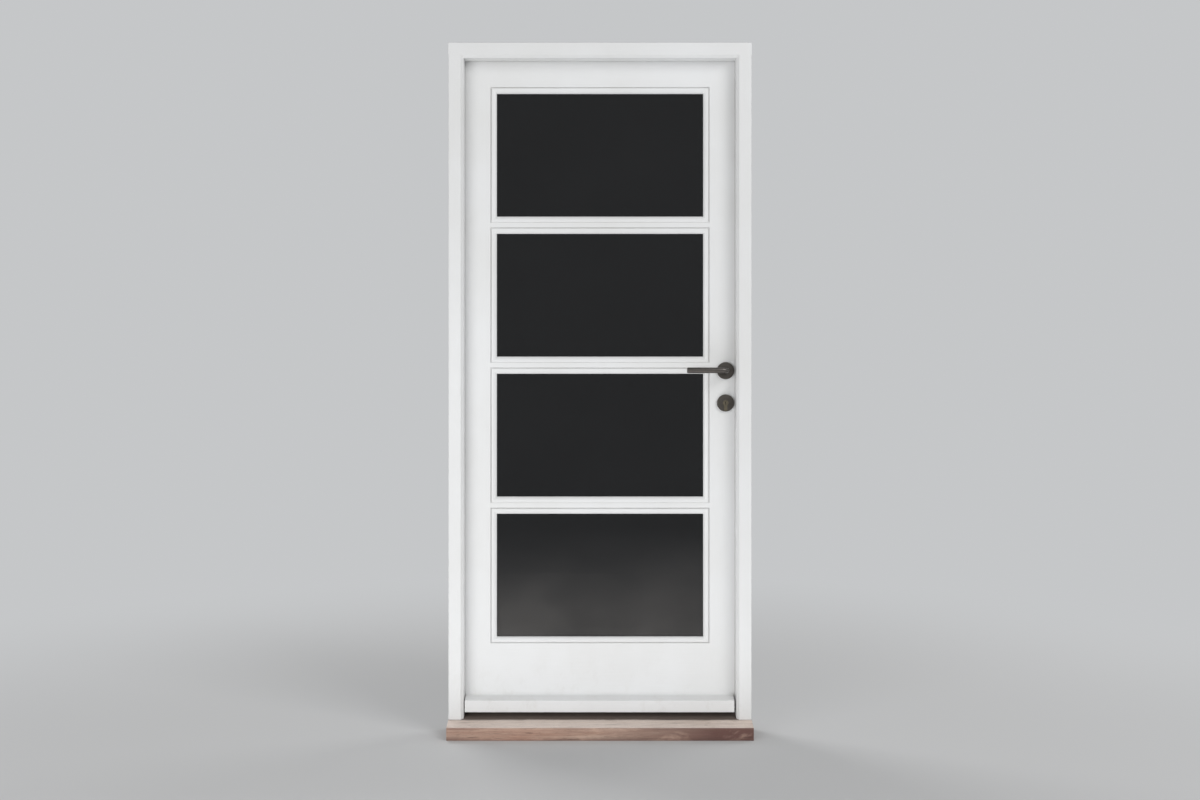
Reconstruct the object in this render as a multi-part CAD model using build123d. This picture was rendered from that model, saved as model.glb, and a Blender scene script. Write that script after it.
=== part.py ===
from build123d import *
import math
import os

os.makedirs("parts", exist_ok=True)

# A glazed timber entrance door with its frame, in millimetres.
# X runs to the right as seen from outdoors, Y runs into the building and Z runs up.
# The origin is on the underside of the sill, under the outer face of the frame, at the middle of its width.

# The leaf and the gaps round it
leaf_width = 838.0
leaf_height = 1981.0
leaf_thickness = 44.0
leaf_gap = 3.0
leaf_floor_gap = 6.0
swing_clearance = 1.0

# The frame
frame_face = 45.0
frame_depth = 94.0
stop_width = 12.0
stop_chamfer = 8.0
seal_gap = 4.0
head_tenon_length = 22.0
sill_tenon_length = 30.0
frame_tenon_thickness = 14.0
frame_tenon_side_cover = 8.0

# The sill, its drip groove and its metal water bar
sill_height = 58.0
sill_projection = 55.0
sill_fall = 20.0
sill_nose_radius = 4.0
drip_width = 8.0
drip_depth = 6.0
drip_inset = 10.0
water_bar_thickness = 6.0
water_bar_height = 25.0
water_bar_stand = 10.0
water_bar_setback = 10.0
water_bar_play = 2.0
water_bar_head_room = 12.0

# The leaf's joinery
stile_width = 87.0
top_rail_width = 87.0
bottom_rail_width = 206.0
bar_width = 16.0
light_count = 4
lip_depth = 12.0
lip_chamfer = 4.0
arris = 1.5
tenon_thickness = 14.0
tenon_end_cover = 22.0
tenon_shoulder = 14.0
bar_tenon_length = 24.0

# The glazing
bead_width = 18.0
bead_flat = 6.0
bead_ease = 1.0
quirk_width = 2.5
quirk_depth = 4.0
bead_fall = 6.5
pane_thickness = 4.0
pane_space = 10.0
tape_thickness = 1.0
tape_width = 12.0
tape_inset = 1.0
unit_clearance = 3.0
spacer_width = 12.0
block_length = 30.0

# The weather bar and the seals
weather_bar_projection = 40.0
weather_bar_front_height = 35.0
weather_bar_fall = 9.0
weather_bar_cove = 6.0
weather_bar_feather = 1.0
weather_bar_lift = 5.0
weather_bar_gap = 3.0
weather_bar_nose = 3.0
kerf_width = 3.0
kerf_depth = 6.0
seal_inset = 1.0
seal_width = 7.0
seal_round = 1.6
running_gap = 0.3
bottom_seal_width = 6.0
bottom_seal_depth = 6.0
bottom_seal_blade = 3.0
bottom_seal_setback = 11.0

# The butt hinges
hinge_count = 3
hinge_height = 100.0
hinge_flap_depth = 28.0
hinge_flap_thickness = 2.5
knuckle_radius = 6.5
knuckle_count = 5
hinge_pin_radius = 3.0
hinge_pin_head = 2.5
hinge_pin_head_radius = 5.0
running_fit = 0.05
top_hinge_inset = 150.0
bottom_hinge_inset = 225.0
hinge_screw_rows = 2
hinge_screw_pitch = 60.0
hinge_screw_stagger = 6.0

# The countersunk wood screws
screw_radius = 2.0
screw_head_radius = 4.0
screw_length = 25.0

# The lock
backset = 38.0
handle_height = 1097.0
cylinder_drop = 98.0
faceplate_width = 20.0
faceplate_height = 235.0
faceplate_thickness = 3.0
faceplate_screw_inset = 10.0
case_thickness = 15.0
case_wall = 1.5
case_behind_follower = 22.0
case_above_follower = 43.0
case_below_cylinder = 44.0
bolt_play = 0.25
latch_height = 20.0
latch_rise = 25.0
latch_length = 25.0
latch_throw = 12.0
latch_tail_height = 8.0
latch_lug_width = 3.0
latch_lug_drop = 7.0
deadbolt_height = 24.0
deadbolt_rise = 25.0
deadbolt_length = 48.0
deadbolt_throw = 20.0
deadbolt_step_length = 13.0
deadbolt_step_height = 3.5
follower_radius = 12.0
follower_boss_radius = 8.0
follower_arm_reach = 23.0
follower_arm_width = 6.0
strike_thickness = 2.0
strike_front_margin = 12.0
pocket_depth = 20.0
pocket_play = 1.0

# The lever handles, roses and escutcheons
rose_radius = 26.0
rose_thickness = 8.0
rose_edge = 1.5
lever_radius = 8.5
lever_length = 120.0
lever_projection = 60.0
lever_bend = 14.0
lever_end_ease = 1.0
spindle_side = 8.0
spindle_grip = 24.0
spindle_hole_radius = 10.0

# The double profile cylinder
cylinder_radius = 8.5
cylinder_lobe_width = 10.0
cylinder_total_height = 33.0
cylinder_stand = 1.0
cylinder_hole_play = 0.25
plug_radius = 6.5
keyway_width = 1.6
keyway_height = 8.0
keyway_depth = 18.0
cam_reach = 15.0
cam_width = 6.0
cam_thickness = 9.0
cylinder_screw_radius = 2.5
cylinder_screw_drop = 20.0

# The holes for the frame's wall fixings
fixing_radius = 4.0
fixing_end_inset = 150.0
fixing_pitch = 560.0
fixing_setback = 5.0

# Planes and edges that the pieces share
leaf_side = leaf_width / 2
rebate_side = leaf_side + leaf_gap
stop_side = rebate_side - stop_width
frame_side = stop_side + frame_face
leaf_front = frame_depth - leaf_thickness
leaf_middle = leaf_front + leaf_thickness / 2
leaf_back = frame_depth
stop_back = leaf_front - seal_gap
leaf_bottom = sill_height + leaf_floor_gap
leaf_top = leaf_bottom + leaf_height
rebate_top = leaf_top + leaf_gap
stop_top = rebate_top - stop_width
frame_top = stop_top + frame_face
shoulder_side = leaf_side - stile_width
sight_side = shoulder_side - bead_width
lip_front = leaf_back - lip_depth
hinge_x = -(leaf_side + rebate_side) / 2
hinge_y = leaf_back + running_gap + knuckle_radius
handle_x = leaf_side - backset
cylinder_height = handle_height - cylinder_drop


def block(x_range, y_range, z_range):
    """A box between two values on each axis."""
    ranges = (x_range, y_range, z_range)
    size = [high - low for low, high in ranges]
    middle = [(low + high) / 2 for low, high in ranges]
    return Pos(*middle) * Box(*size)


def run_in_x(points, low, high):
    """A profile drawn in Y and Z, run along X."""
    face = make_face(Polyline(*points, close=True))
    return extrude(Plane.YZ.offset(low) * face, high - low)


def run_in_y(points, low, high):
    """A profile drawn in X and Z, run along Y."""
    face = make_face(Polyline(*points, close=True))
    return extrude(Plane.XZ.offset(-high) * face, high - low)


def run_in_z(points, low, high):
    """A profile drawn in X and Y, run along Z."""
    face = make_face(Polyline(*points, close=True))
    return extrude(Plane.XY.offset(low) * face, high - low)


def rod_in_x(radius, low, high, y, z):
    """A round rod between two values of X."""
    return Pos((low + high) / 2, y, z) * Rot(0, 90, 0) * Cylinder(radius, high - low)


def rod_in_y(radius, low, high, x, z):
    """A round rod between two values of Y."""
    return Pos(x, (low + high) / 2, z) * Rot(90, 0, 0) * Cylinder(radius, high - low)


def rod_in_z(radius, low, high, x, y):
    """A round rod between two values of Z."""
    return Pos(x, y, (low + high) / 2) * Cylinder(radius, high - low)


def wood_screw(x, y, z, direction, plate_thickness):
    """A screw driven along X, with its head countersunk through a plate whose face is at x."""
    head = Cone(screw_head_radius, screw_radius, plate_thickness)
    shank = Cylinder(screw_radius, screw_length - plate_thickness)
    screw = Pos(0, 0, plate_thickness / 2) * head + Pos(0, 0, (screw_length + plate_thickness) / 2) * shank
    return Pos(x, y, z) * Rot(0, 90 * direction, 0) * screw


def write(name, *shapes):
    """Write one node from one solid or from a group of like solids."""
    solids = [solid for shape in shapes for solid in shape.solids()]
    export_step(solids[0] if len(solids) == 1 else Compound(solids), f"parts/{name}.step")


# The sill is one hardwood length. Its flat back carries the leaf's threshold and its front falls outwards.
sill_nose_height = sill_height - sill_fall
sill_section = make_face(
    Polyline(
        (-sill_projection, 0),
        (frame_depth, 0),
        (frame_depth, sill_height),
        (stop_back, sill_height),
        (-sill_projection, sill_nose_height),
        close=True,
    )
)
sill_nose = sill_section.vertices().sort_by(Axis.X)[:2].sort_by(Axis.Y)[-1]
sill_section = fillet(sill_nose, sill_nose_radius)
sill_solid = extrude(Plane.YZ.offset(-frame_side) * sill_section, 2 * frame_side)
drip_front = drip_inset - sill_projection
sill_drip = block((-frame_side, frame_side), (drip_front, drip_front + drip_width), (0, drip_depth))

# The water bar is a metal flat let into the sill between the jambs, just behind the leaf's outer face.
water_bar_front = leaf_front + water_bar_setback
water_bar_back = water_bar_front + water_bar_thickness
water_bar_top = sill_height + water_bar_stand
water_bar = block(
    (-rebate_side, rebate_side),
    (water_bar_front, water_bar_back),
    (water_bar_top - water_bar_height, water_bar_top),
)

# Each frame length is rebated from one section, with a chamfer on its stop and its other arrises eased.
head_section = (
    (stop_chamfer, stop_top),
    (0, stop_top + stop_chamfer),
    (0, frame_top - arris),
    (arris, frame_top),
    (frame_depth - arris, frame_top),
    (frame_depth, frame_top - arris),
    (frame_depth, rebate_top + arris),
    (frame_depth - arris, rebate_top),
    (stop_back, rebate_top),
    (stop_back, stop_top),
)
head_solid = run_in_x(head_section, -frame_side, frame_side)
jamb_section = (
    (stop_side, stop_chamfer),
    (stop_side + stop_chamfer, 0),
    (frame_side - arris, 0),
    (frame_side, arris),
    (frame_side, frame_depth - arris),
    (frame_side - arris, frame_depth),
    (rebate_side + arris, frame_depth),
    (rebate_side, frame_depth - arris),
    (rebate_side, stop_back),
    (stop_side, stop_back),
)
lock_jamb = run_in_z(jamb_section, 0, rebate_top + arris) - head_solid - sill_solid

# Stub tenons hold the jambs in the head and in the sill.
tenon_x = (rebate_side + frame_tenon_side_cover, frame_side - frame_tenon_side_cover)
tenon_y = (leaf_middle - frame_tenon_thickness / 2, leaf_middle + frame_tenon_thickness / 2)
head_tenon = block(tenon_x, tenon_y, (rebate_top, rebate_top + head_tenon_length))
sill_tenon = block(tenon_x, tenon_y, (sill_height - sill_tenon_length, sill_height))
lock_jamb = lock_jamb + head_tenon + sill_tenon
hinge_jamb = mirror(lock_jamb, about=Plane.YZ)
head_solid = head_solid - lock_jamb - hinge_jamb
sill_solid = sill_solid - lock_jamb - hinge_jamb - water_bar - sill_drip

# A kerf in the back of each stop holds a rubber seal that the closed leaf just misses.
seal_reach = seal_gap - running_gap
seal_middle = seal_inset + seal_width / 2


def seal_profile():
    """A seal's section: a stem in its kerf and a rounded bulb, drawn from the back face of the stop."""
    bulb = Pos(0, seal_reach / 2) * RectangleRounded(seal_width, seal_reach, seal_round)
    return bulb + Pos(0, -kerf_depth / 2) * Rectangle(kerf_width, kerf_depth)


lock_seal_x = stop_side + seal_middle
head_seal_z = stop_top + seal_middle
lock_seal = extrude(
    Plane((lock_seal_x, stop_back, sill_height)) * seal_profile(), stop_top - sill_height
)
hinge_seal = mirror(lock_seal, about=Plane.YZ)
head_seal_plane = Plane((stop_side, stop_back, head_seal_z), x_dir=(0, 0, 1), z_dir=(-1, 0, 0))
head_seal = extrude(head_seal_plane * seal_profile(), 2 * stop_side)
lock_jamb = lock_jamb - lock_seal
hinge_jamb = hinge_jamb - hinge_seal
head_solid = head_solid - head_seal

# The stiles run the full height of the leaf.
# Each is rebated for the glass from outside, leaving a lip indoors.
stile_section = (
    (shoulder_side, leaf_front + arris),
    (shoulder_side + arris, leaf_front),
    (leaf_side - arris, leaf_front),
    (leaf_side, leaf_front + arris),
    (leaf_side, leaf_back - arris),
    (leaf_side - arris, leaf_back),
    (sight_side + lip_chamfer, leaf_back),
    (sight_side, leaf_back - lip_chamfer),
    (sight_side, lip_front),
    (shoulder_side, lip_front),
)
lock_stile = run_in_z(stile_section, leaf_bottom, leaf_top)
hinge_stile = mirror(lock_stile, about=Plane.YZ)
stiles = lock_stile + hinge_stile
rail_reach = shoulder_side + arris

# The rails carry the same rebate and are scribed to the stiles.
top_shoulder = leaf_top - top_rail_width
top_sight = top_shoulder - bead_width
top_rail_section = (
    (leaf_front + arris, top_shoulder),
    (leaf_front, top_shoulder + arris),
    (leaf_front, leaf_top),
    (leaf_back, leaf_top),
    (leaf_back, top_sight + lip_chamfer),
    (leaf_back - lip_chamfer, top_sight),
    (lip_front, top_sight),
    (lip_front, top_shoulder),
)
top_rail = run_in_x(top_rail_section, -rail_reach, rail_reach) - stiles
bottom_shoulder = leaf_bottom + bottom_rail_width
bottom_sight = bottom_shoulder + bead_width
bottom_rail_section = (
    (leaf_front + arris, bottom_shoulder),
    (leaf_front, bottom_shoulder - arris),
    (leaf_front, leaf_bottom),
    (leaf_back, leaf_bottom),
    (leaf_back, bottom_sight - lip_chamfer),
    (leaf_back - lip_chamfer, bottom_sight),
    (lip_front, bottom_sight),
    (lip_front, bottom_shoulder),
)
bottom_rail = run_in_x(bottom_rail_section, -rail_reach, rail_reach) - stiles

# Glazing bars part the leaf into equal lights, each with a web outdoors and a wide lip indoors.
bar_sight = bar_width + 2 * bead_width
bar_count = light_count - 1
light_height = (top_sight - bottom_sight - bar_count * bar_sight) / light_count
light_pitch = light_height + bar_sight
light_bottoms = [top_sight - light_height - index * light_pitch for index in range(light_count)]
bar_middles = [bottom - bar_sight / 2 for bottom in light_bottoms[:bar_count]]


def glazing_bar(middle):
    """One glazing bar at its height, scribed to the stiles."""
    web = bar_width / 2
    lip = bar_sight / 2
    section = (
        (leaf_front + arris, middle - web),
        (leaf_front, middle - web + arris),
        (leaf_front, middle + web - arris),
        (leaf_front + arris, middle + web),
        (lip_front, middle + web),
        (lip_front, middle + lip),
        (leaf_back - lip_chamfer, middle + lip),
        (leaf_back, middle + lip - lip_chamfer),
        (leaf_back, middle - lip + lip_chamfer),
        (leaf_back - lip_chamfer, middle - lip),
        (lip_front, middle - lip),
        (lip_front, middle - web),
    )
    return run_in_x(section, -rail_reach, rail_reach) - stiles


# The rails and bars end in stub tenons inside the stiles.
rebate_depth = lip_front - leaf_front
tenon_front = leaf_front + (rebate_depth - tenon_thickness) / 2
rail_tenon_side = leaf_side - tenon_end_cover


def tenons(low, high, side):
    """A pair of tenons between two heights, reaching a given distance from the leaf's middle."""
    right = block((shoulder_side, side), (tenon_front, tenon_front + tenon_thickness), (low, high))
    return right + mirror(right, about=Plane.YZ)


top_rail = top_rail + tenons(top_shoulder + tenon_shoulder, leaf_top - tenon_shoulder, rail_tenon_side)
bottom_tenon_height = (bottom_rail_width - water_bar_head_room - 4 * tenon_shoulder) / 2
bottom_tenon_low = leaf_bottom + water_bar_head_room + 2 * tenon_shoulder
bottom_tenon_high = bottom_shoulder - tenon_shoulder
bottom_tenon_middle = (bottom_tenon_low + bottom_tenon_high) / 2
bottom_rail = (
    bottom_rail
    + tenons(bottom_tenon_low, bottom_tenon_middle - tenon_shoulder, rail_tenon_side)
    + tenons(bottom_tenon_middle + tenon_shoulder, bottom_tenon_high, rail_tenon_side)
)
bar_tenon_side = shoulder_side + bar_tenon_length
bars = [
    glazing_bar(middle)
    + tenons(middle - bar_width / 2 + arris, middle + bar_width / 2 - arris, bar_tenon_side)
    for middle in bar_middles
]

# The foot of the leaf is rebated to pass over the water bar.
water_bar_rebate = block(
    (-leaf_side, leaf_side),
    (leaf_front, water_bar_back + water_bar_play),
    (leaf_bottom, water_bar_top + water_bar_head_room),
)
bottom_rail = bottom_rail - water_bar_rebate
lock_stile = lock_stile - water_bar_rebate
hinge_stile = hinge_stile - water_bar_rebate
for piece in [top_rail, bottom_rail, *bars]:
    lock_stile = lock_stile - piece
    hinge_stile = hinge_stile - piece

# Each light holds a sealed unit of two panes round a spacer, between tapes, on two setting blocks.
unit_side = shoulder_side - unit_clearance
outer_tape_y = leaf_front + rebate_depth - 2 * tape_thickness - 2 * pane_thickness - pane_space
outer_pane_y = outer_tape_y + tape_thickness
spacer_y = outer_pane_y + pane_thickness
inner_pane_y = spacer_y + pane_space
inner_tape_y = inner_pane_y + pane_thickness
bead_depth = outer_tape_y - leaf_front


def ring(side, low, high, width, y_range):
    """A flat rectangular ring about the leaf's middle, drawn by its outer edges and its width."""
    outer = block((-side, side), y_range, (low, high))
    return outer - block((width - side, side - width), y_range, (low + width, high - width))


def mitred_beads(bottom):
    """The four beads of one light, rolled on the face, quirked at the timber and mitred."""
    top = bottom + light_height
    lines = Polyline(
        (bead_width, bead_fall),
        (bead_width, bead_depth),
        (0, bead_depth),
        (0, quirk_depth),
        (quirk_width, quirk_depth),
        (quirk_width, bead_ease),
        (quirk_width + bead_ease, 0),
        (bead_flat, 0),
    )
    face = make_face([*lines.edges(), TangentArc((bead_flat, 0), (bead_width, bead_fall), tangent=(1, 0))])
    low = bottom - bead_width
    high = top + bead_width
    upright = extrude(Plane((-shoulder_side, leaf_front, low)) * face, high - low)
    upright_mitre = (
        (-shoulder_side, low), (-sight_side, bottom), (-sight_side, top), (-shoulder_side, high)
    )
    upright = upright & run_in_y(upright_mitre, leaf_front, outer_tape_y)
    level_plane = Plane((shoulder_side, leaf_front, low), x_dir=(0, 0, 1), z_dir=(-1, 0, 0))
    level = extrude(level_plane * face, 2 * shoulder_side)
    level_mitre = (
        (-shoulder_side, low), (-sight_side, bottom), (sight_side, bottom), (shoulder_side, low)
    )
    level = level & run_in_y(level_mitre, leaf_front, outer_tape_y)
    middle = Plane((0, 0, (bottom + top) / 2), z_dir=(0, 0, 1))
    return [upright, mirror(upright, about=Plane.YZ), level, mirror(level, about=middle)]


glazing_tapes = []
setting_blocks = []
spacers = []
for number, bottom in enumerate(light_bottoms, start=1):
    rebate_low = bottom - bead_width
    unit_low = rebate_low + unit_clearance
    unit_high = bottom + light_height + bead_width - unit_clearance
    pane_x = (-unit_side, unit_side)
    pane_z = (unit_low, unit_high)
    write(f"outer_pane_{number}", block(pane_x, (outer_pane_y, spacer_y), pane_z))
    write(f"inner_pane_{number}", block(pane_x, (inner_pane_y, inner_tape_y), pane_z))
    spacers.append(ring(unit_side, unit_low, unit_high, spacer_width, (spacer_y, inner_pane_y)))
    tape_side = sight_side + tape_inset + tape_width
    tape_low = bottom - tape_inset - tape_width
    tape_high = bottom + light_height + tape_inset + tape_width
    for tape_y in (outer_tape_y, inner_tape_y):
        tape_range = (tape_y, tape_y + tape_thickness)
        glazing_tapes.append(ring(tape_side, tape_low, tape_high, tape_width, tape_range))
    for side in (-1, 1):
        block_x = side * unit_side / 2
        setting_blocks.append(
            block(
                (block_x - block_length / 2, block_x + block_length / 2),
                (outer_pane_y, inner_tape_y),
                (rebate_low, unit_low),
            )
        )
    write(f"beads_{number}", *mitred_beads(bottom))
write("spacer_bars", *spacers)
write("glazing_tapes", *glazing_tapes)
write("setting_blocks", *setting_blocks)

# The weather bar throws rain clear of the sill, and its top is coved up to the leaf.
# Its lock end stops short so that it clears the stop as it swings.
weather_bar_front = leaf_front - weather_bar_projection
weather_bar_low = leaf_bottom + weather_bar_lift
weather_bar_high = weather_bar_low + weather_bar_front_height
swing_radius = stop_side - swing_clearance - hinge_x
weather_bar_lock_end = hinge_x + math.sqrt(swing_radius**2 - (hinge_y - weather_bar_front) ** 2)
weather_bar_hinge_end = weather_bar_gap - stop_side
weather_bar_slope_top = weather_bar_high + weather_bar_fall
weather_bar_top = weather_bar_slope_top + weather_bar_cove
weather_bar_face = make_face(
    Polyline(
        (weather_bar_front, weather_bar_low),
        (leaf_front, weather_bar_low),
        (leaf_front, weather_bar_top),
        (leaf_front - weather_bar_feather, weather_bar_top),
        (leaf_front - weather_bar_feather, weather_bar_slope_top),
        (weather_bar_front, weather_bar_high),
        close=True,
    )
)
weather_bar_corners = weather_bar_face.vertices().sort_by(Axis.X)
weather_bar_face = fillet(weather_bar_corners[:2].sort_by(Axis.Y)[-1], weather_bar_nose)
weather_bar_corners = weather_bar_face.vertices().sort_by(Axis.X)
weather_bar_face = fillet(weather_bar_corners[-4:-2].sort_by(Axis.Y)[0], weather_bar_cove)
weather_bar = extrude(
    Plane.YZ.offset(weather_bar_hinge_end) * weather_bar_face, weather_bar_lock_end - weather_bar_hinge_end
)
weather_drip_front = weather_bar_front + drip_inset - drip_width / 2
weather_bar = weather_bar - block(
    (weather_bar_hinge_end, weather_bar_lock_end),
    (weather_drip_front, weather_drip_front + drip_width),
    (weather_bar_low, weather_bar_low + drip_depth),
)

# A rubber blade in a groove under the leaf closes the gap above the sill.
bottom_seal_y = leaf_back - bottom_seal_setback
bottom_seal = block(
    (-leaf_side, leaf_side),
    (bottom_seal_y - bottom_seal_width / 2, bottom_seal_y + bottom_seal_width / 2),
    (leaf_bottom, leaf_bottom + bottom_seal_depth),
) + block(
    (-leaf_side, leaf_side),
    (bottom_seal_y - bottom_seal_blade / 2, bottom_seal_y + bottom_seal_blade / 2),
    (sill_height + running_gap, leaf_bottom),
)
bottom_rail = bottom_rail - bottom_seal
lock_stile = lock_stile - bottom_seal
hinge_stile = hinge_stile - bottom_seal

# The butt hinges are let in flush on both sides of the gap, with their knuckles indoors.
knuckle_height = (hinge_height - (knuckle_count - 1) * running_gap) / knuckle_count
lowest_hinge = leaf_bottom + bottom_hinge_inset + hinge_height / 2
highest_hinge = leaf_top - top_hinge_inset - hinge_height / 2
hinge_step = (highest_hinge - lowest_hinge) / (hinge_count - 1)
hinge_heights = [lowest_hinge + index * hinge_step for index in range(hinge_count)]
flap_front = leaf_back - hinge_flap_depth


def hinge_flap(x_range, middle, first_knuckle):
    """A flap with every other knuckle of the hinge, counted from its foot."""
    low = middle - hinge_height / 2
    flap = block(x_range, (flap_front, leaf_back), (low, low + hinge_height))
    for index in range(first_knuckle, knuckle_count, 2):
        knuckle_low = low + index * (knuckle_height + running_gap)
        knuckle_range = (knuckle_low, knuckle_low + knuckle_height)
        flap = flap + rod_in_z(knuckle_radius, *knuckle_range, hinge_x, hinge_y)
        flap = flap + block(x_range, (leaf_back, hinge_y), knuckle_range)
    return flap - rod_in_z(hinge_pin_radius + running_fit, low, low + hinge_height, hinge_x, hinge_y)


def hinge_screws(x, middle, direction):
    """Two staggered rows of screws through one flap."""
    screws = []
    for row in range(hinge_screw_rows):
        for end in (-1, 1):
            y = flap_front + hinge_flap_depth * (row + 1) / (hinge_screw_rows + 1)
            z = middle + end * (hinge_screw_pitch / 2 + (row - 0.5) * hinge_screw_stagger)
            screws.append(wood_screw(x, y, z, direction, hinge_flap_thickness))
    return screws


leaf_flap_x = (-leaf_side, hinge_flap_thickness - leaf_side)
frame_flap_x = (-rebate_side - hinge_flap_thickness, -rebate_side)
hinge_pins = []
frame_screws = []
leaf_screws = []
for number, middle in enumerate(hinge_heights, start=1):
    low = middle - hinge_height / 2
    high = middle + hinge_height / 2
    frame_flap = hinge_flap(frame_flap_x, middle, 0)
    leaf_flap = hinge_flap(leaf_flap_x, middle, 1)
    pin = rod_in_z(hinge_pin_radius, low, high, hinge_x, hinge_y)
    for head_low in (low - hinge_pin_head, high):
        pin = pin + rod_in_z(hinge_pin_head_radius, head_low, head_low + hinge_pin_head, hinge_x, hinge_y)
    hinge_pins.append(pin)
    flap_screws = hinge_screws(-rebate_side, middle, -1)
    stile_screws = hinge_screws(-leaf_side, middle, 1)
    for screw in flap_screws:
        frame_flap = frame_flap - screw
        hinge_jamb = hinge_jamb - screw
    for screw in stile_screws:
        leaf_flap = leaf_flap - screw
        hinge_stile = hinge_stile - screw
    frame_screws += flap_screws
    leaf_screws += stile_screws
    hinge_jamb = hinge_jamb - block(frame_flap_x, (flap_front, leaf_back), (low, high))
    hinge_stile = hinge_stile - block(leaf_flap_x, (flap_front, leaf_back), (low, high))
    write(f"frame_flap_{number}", frame_flap)
    write(f"leaf_flap_{number}", leaf_flap)
write("hinge_pins", *hinge_pins)

# The mortice lock: a thin case behind a faceplate, both let into the edge of the lock stile.
case_back = handle_x - case_behind_follower
case_front = leaf_side - faceplate_thickness
case_low = cylinder_height - case_below_cylinder
case_high = handle_height + case_above_follower
case_y = (leaf_middle - case_thickness / 2, leaf_middle + case_thickness / 2)
cavity_y = (case_y[0] + case_wall, case_y[1] - case_wall)
case_outer = block((case_back, case_front), case_y, (case_low, case_high))
cavity_z = (case_low + case_wall, case_high - case_wall)
case_cavity = block((case_back + case_wall, case_front), cavity_y, cavity_z)
faceplate_low = (case_low + case_high - faceplate_height) / 2
faceplate_high = faceplate_low + faceplate_height
faceplate_y = (leaf_middle - faceplate_width / 2, leaf_middle + faceplate_width / 2)
plate_outer = block((case_front, leaf_side), faceplate_y, (faceplate_low, faceplate_high))
plate_outer = fillet(plate_outer.edges().filter_by(Axis.X), faceplate_width / 2 - running_gap)

# The latch bolt has its bevel outdoors. It is drawn back flush with the faceplate.
latch_middle = handle_height + latch_rise
latch_low = latch_middle - latch_height / 2
latch_high = latch_middle + latch_height / 2
bolt_y = (cavity_y[0] + bolt_play, cavity_y[1] - bolt_play)
latch_tail_back = handle_x - follower_arm_width / 2 - running_gap - latch_lug_width - latch_throw
latch_head_section = (
    (leaf_side - latch_length, bolt_y[0]),
    (leaf_side - latch_throw, bolt_y[0]),
    (leaf_side, bolt_y[1] - latch_lug_width),
    (leaf_side, bolt_y[1]),
    (leaf_side - latch_length, bolt_y[1]),
)
arm_top = handle_height + follower_arm_reach
latch_tail_low = arm_top + 2 * running_gap
latch_bolt = (
    run_in_z(latch_head_section, latch_low, latch_high)
    + block(
        (latch_tail_back, leaf_side - latch_length),
        bolt_y,
        (latch_tail_low, latch_tail_low + latch_tail_height),
    )
    + block(
        (latch_tail_back, latch_tail_back + latch_lug_width),
        bolt_y,
        (latch_tail_low - latch_lug_drop + running_gap, latch_tail_low),
    )
)
latch_slot = block(
    (case_front, leaf_side),
    (bolt_y[0] - bolt_play, bolt_y[1] + bolt_play),
    (latch_low - bolt_play, latch_high + bolt_play),
)

# The deadbolt lies above the cylinder, with a step in its tail that the cam works against.
deadbolt_middle = cylinder_height + deadbolt_rise
deadbolt_low = deadbolt_middle - deadbolt_height / 2
deadbolt_high = deadbolt_middle + deadbolt_height / 2
deadbolt_back = leaf_side - deadbolt_length
deadbolt = block((deadbolt_back, leaf_side), bolt_y, (deadbolt_low, deadbolt_high))
deadbolt = deadbolt - block(
    (deadbolt_back, deadbolt_back + deadbolt_step_length),
    bolt_y,
    (deadbolt_low, deadbolt_low + deadbolt_step_height),
)
deadbolt_slot = block(
    (case_front, leaf_side),
    (bolt_y[0] - bolt_play, bolt_y[1] + bolt_play),
    (deadbolt_low - bolt_play, deadbolt_high + bolt_play),
)


def profile_prism(grow, low, high):
    """The cylinder's standard profile, a round over a narrow lobe, run along Y and grown all round."""
    round_part = rod_in_y(cylinder_radius + grow, low, high, handle_x, cylinder_height)
    lobe_half = cylinder_lobe_width / 2 + grow
    lobe_foot = cylinder_height + cylinder_radius - cylinder_total_height + cylinder_lobe_width / 2
    lobe = block((handle_x - lobe_half, handle_x + lobe_half), (low, high), (lobe_foot, cylinder_height))
    return round_part + lobe + rod_in_y(lobe_half, low, high, handle_x, lobe_foot)


# The double cylinder passes through the stile, and one screw from the faceplate holds it.
cylinder_front = leaf_front - rose_thickness - cylinder_stand
cylinder_back = leaf_back + rose_thickness + cylinder_stand
cam_y = (leaf_middle - cam_thickness / 2, leaf_middle + cam_thickness / 2)
cam_room_y = (cam_y[0] - running_gap, cam_y[1] + running_gap)
cylinder_body = profile_prism(0, cylinder_front, cylinder_back)
cylinder_body = cylinder_body - rod_in_y(
    plug_radius + running_fit, cylinder_front, cylinder_back, handle_x, cylinder_height
)
cylinder_body = cylinder_body - rod_in_y(cam_reach + running_gap, *cam_room_y, handle_x, cylinder_height)
cylinder_screw_z = cylinder_height - cylinder_screw_drop
cylinder_screw = rod_in_x(
    cylinder_screw_radius, handle_x - cylinder_lobe_width / 2, leaf_side, leaf_middle, cylinder_screw_z
)
cylinder_screw_cone = Cone(2 * cylinder_screw_radius, cylinder_screw_radius, faceplate_thickness)
cylinder_screw_spot = Pos(leaf_side - faceplate_thickness / 2, leaf_middle, cylinder_screw_z)
cylinder_screw = cylinder_screw + cylinder_screw_spot * Rot(0, -90, 0) * cylinder_screw_cone
cylinder_body = cylinder_body - cylinder_screw


def cylinder_plug(low, high, mouth):
    """One turning plug with a keyway in its outer end."""
    plug = rod_in_y(plug_radius, low, high, handle_x, cylinder_height)
    keyway_x = (handle_x - keyway_width / 2, handle_x + keyway_width / 2)
    keyway_z = (cylinder_height - keyway_height / 2, cylinder_height + keyway_height / 2)
    reach = mouth + keyway_depth if mouth == low else mouth - keyway_depth
    return plug - block(keyway_x, (min(mouth, reach), max(mouth, reach)), keyway_z)


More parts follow.
